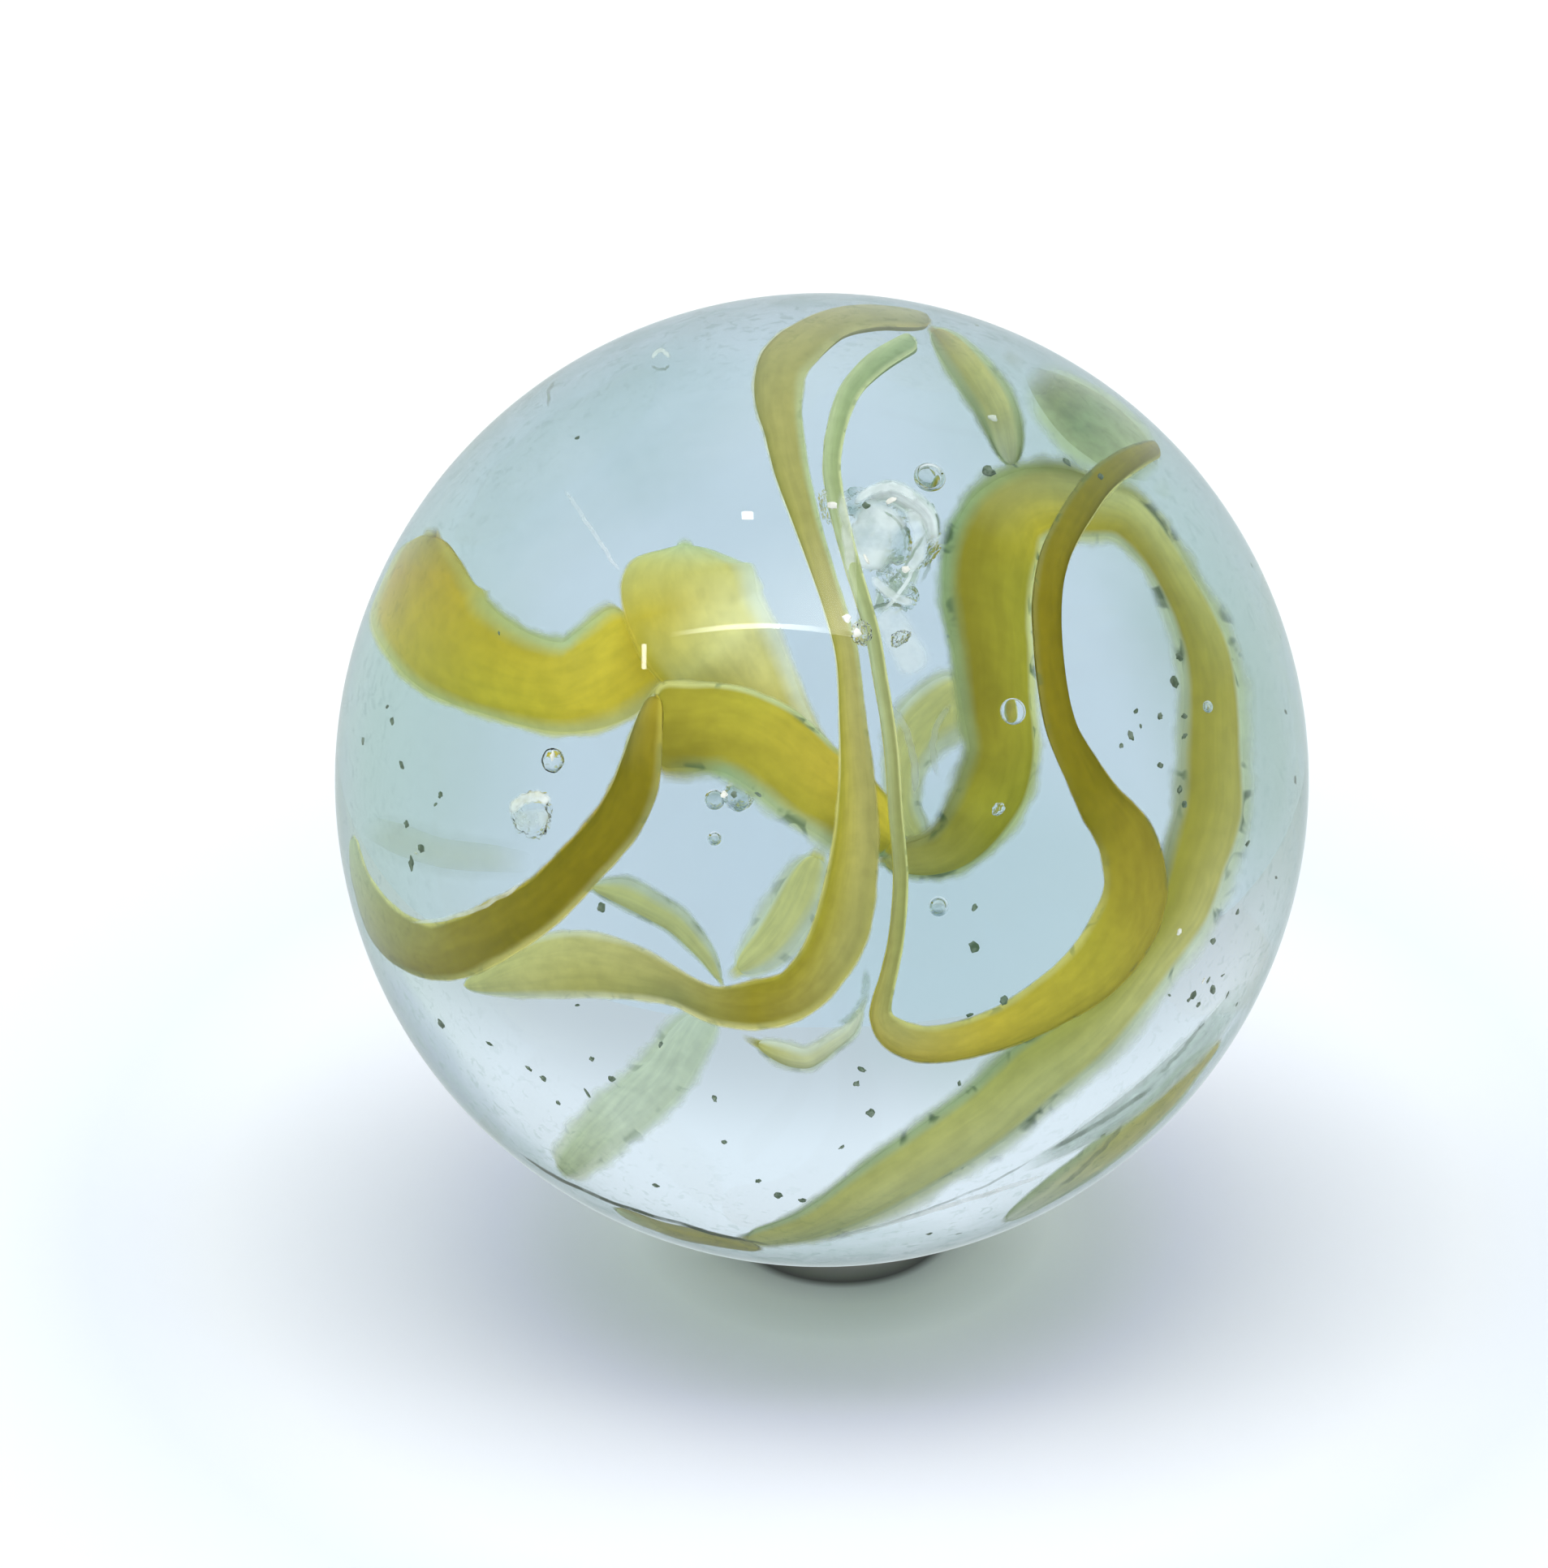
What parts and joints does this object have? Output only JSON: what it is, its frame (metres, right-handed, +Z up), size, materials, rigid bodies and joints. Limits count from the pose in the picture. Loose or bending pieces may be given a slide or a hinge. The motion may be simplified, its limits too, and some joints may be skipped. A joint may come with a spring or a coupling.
{
  "type": "glass marble",
  "caption": "Playing marble: a clear, faintly aqua glass ball with folded ribbons of yellow glass and small air bubbles sealed inside it.",
  "frame": {"origin": "centre of the ball", "axes": "+Z up as the marble lies, through the point that it rests on; +Y away from the face that shows the pattern best, +X to that face's right"},
  "size_m": [0.016, 0.016, 0.016],
  "materials": {
    "clear_glass": "clear, fire-polished, faint aqua tint",
    "yellow_glass": "opaque yellow, melted into the clear glass",
    "bright_yellow_glass": "opaque light yellow, melted into the clear glass",
    "olive_glass": "opaque olive yellow, melted into the clear glass",
    "pale_glass": "thin, cloudy yellow-green, melted into the clear glass",
    "cloudy_glass": "thin grey-white film of fine bubbles and dust, melted into the clear glass"
  },
  "bodies": {
    "root": {"clear_glass": "clear_glass", "left_band": "yellow_glass", "arch_band": "bright_yellow_glass", "centre_sheet": "yellow_glass", "front_hook": "olive_glass", "tall_loop": "yellow_glass", "wave_band": "olive_glass", "crook_band": "yellow_glass", "shoulder_strand": "pale_glass", "short_link": "pale_glass", "rim_band": "pale_glass", "rim_sliver": "pale_glass", "foot_crescent": "pale_glass", "middle_wisp": "pale_glass", "cross_wisp": "pale_glass", "low_wisp": "pale_glass", "side_wisp": "pale_glass", "green_haze": "pale_glass", "film_curl": "cloudy_glass", "film_fold": "cloudy_glass", "scuff_veil": "cloudy_glass"}
  },
  "joints": []
}
